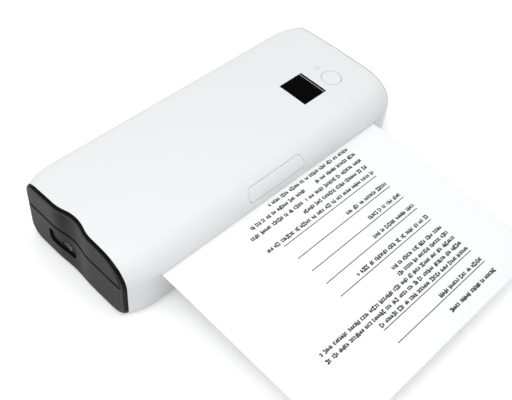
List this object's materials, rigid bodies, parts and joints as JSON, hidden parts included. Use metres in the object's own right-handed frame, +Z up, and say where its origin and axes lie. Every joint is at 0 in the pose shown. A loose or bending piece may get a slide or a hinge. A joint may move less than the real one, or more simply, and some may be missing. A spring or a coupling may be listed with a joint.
{
  "type": "portable thermal printer",
  "caption": "Portable thermal printer for A4 sheets from a roll, with a hinged cover, driven platen, sprung print head, release latch, display and power button.",
  "frame": {"origin": "middle of the flat underside", "axes": "+Z up, +X towards the end with the display and power button, -Y towards the paper slot at the front"},
  "size_m": [0.2623, 0.2683, 0.052],
  "materials": {
    "white_shell": "satin",
    "black_gloss": "gloss",
    "dark_panel": "satin",
    "window": "gloss",
    "display": "gloss",
    "clear": "clear",
    "rubber": "matte",
    "steel": "satin",
    "aluminium": "satin",
    "ceramic": "gloss",
    "resin": "gloss",
    "gear_plastic": "satin",
    "tray": "matte",
    "hub": "satin",
    "paper": "matte",
    "core": "matte",
    "board": "satin",
    "cell": "satin",
    "bush": "satin"
  },
  "bodies": {
    "base": {"base_case": "white_shell", "left_base_rim": "black_gloss", "right_base_rim": "black_gloss", "left_base_panel": "dark_panel", "right_base_panel": "dark_panel", "foot_pads": "rubber", "hinge_pins": "steel", "mech_frame": "steel", "catch_pins": "steel", "head_rod": "steel", "head_springs": "steel", "tear_bar": "steel", "stepper_motor": "steel", "gear_pin": "steel", "inner_tray": "tray", "left_roll_hub": "hub", "hub_guide": "tray", "paper_web": "paper", "paper_sensor": "resin", "battery_cells": "cell", "battery_tray": "tray", "main_board": "board", "usb_socket": "steel", "base_screws": "steel"},
    "cover": {"top_cover": "white_shell", "left_cover_rim": "black_gloss", "right_cover_rim": "black_gloss", "left_cover_lip": "dark_panel", "right_cover_lip": "dark_panel", "display_window": "window", "display_module": "display", "light_pipe": "clear", "cover_board": "board", "board_cover": "tray", "cover_screws": "steel", "platen_bushes": "bush"},
    "platen": {"platen_rubber": "rubber", "platen_shaft": "steel", "platen_gear": "gear_plastic"},
    "idler": {"compound_gear": "gear_plastic"},
    "motor_rotor": {"motor_pinion": "gear_plastic"},
    "power_key": {"power_button": "white_shell"},
    "release_key": {"release_button": "white_shell"},
    "latch": {"latch_bar": "steel"},
    "print_head": {"head_sink": "aluminium", "head_ceramic": "ceramic", "head_drivers": "resin"},
    "roll": {"paper_roll": "paper", "roll_core": "core"},
    "sliding_hub": {"right_roll_hub": "hub"}
  },
  "joints": [
    {"name": "cover_hinge", "type": "hinge", "parent": "base", "child": "cover", "pos_m": [0, 0.057, 0.0312], "axis": [-1, 0, 0], "range_deg": [0, 100]},
    {"name": "platen_spin", "type": "hinge", "parent": "cover", "child": "platen", "pos_m": [0, -0.042, 0.0364], "axis": [1, 0, 0], "continuous": true},
    {"name": "idler_spin", "type": "hinge", "parent": "base", "child": "idler", "pos_m": [0.116, -0.03875, 0.02516], "axis": [1, 0, 0], "continuous": true},
    {"name": "motor_spin", "type": "hinge", "parent": "base", "child": "motor_rotor", "pos_m": [0.118, -0.0265, 0.0165], "axis": [1, 0, 0], "continuous": true},
    {"name": "roll_spin", "type": "hinge", "parent": "base", "child": "roll", "pos_m": [0, 0.0275, 0.0265], "axis": [1, 0, 0], "continuous": true},
    {"name": "hub_slide", "type": "slide", "parent": "base", "child": "sliding_hub", "axis": [1, 0, 0], "range_m": [0, 0.005], "stiffness_N_per_m": 200, "springref_m": -0.005},
    {"name": "head_float", "type": "hinge", "parent": "base", "child": "print_head", "pos_m": [0, -0.035, 0.02665], "axis": [1, 0, 0], "range_deg": [0, 1.2], "stiffness_Nm_per_rad": 4.6, "springref_deg": -2.98},
    {"name": "power_press", "type": "slide", "parent": "cover", "child": "power_key", "axis": [0, 0, -1], "range_m": [0, 0.00025], "stiffness_N_per_m": 6000, "springref_m": -0.00005},
    {"name": "release_press", "type": "slide", "parent": "cover", "child": "release_key", "axis": [0, 0.831, -0.5563], "range_m": [0, 0.0014], "stiffness_N_per_m": 800, "springref_m": -0.001},
    {"name": "latch_turn", "type": "hinge", "parent": "cover", "child": "latch", "pos_m": [0, -0.0435, 0.0444], "axis": [1, 0, 0], "range_deg": [0, 8.6]}
  ],
  "couplings": [
    {"joint": "idler_spin", "follows": "platen_spin", "ratio": -1.7857},
    {"joint": "motor_spin", "follows": "platen_spin", "ratio": 4.5918},
    {"joint": "roll_spin", "follows": "platen_spin", "ratio": 0.27027},
    {"joint": "latch_turn", "follows": "release_press", "rad_per_m": 105.51}
  ]
}
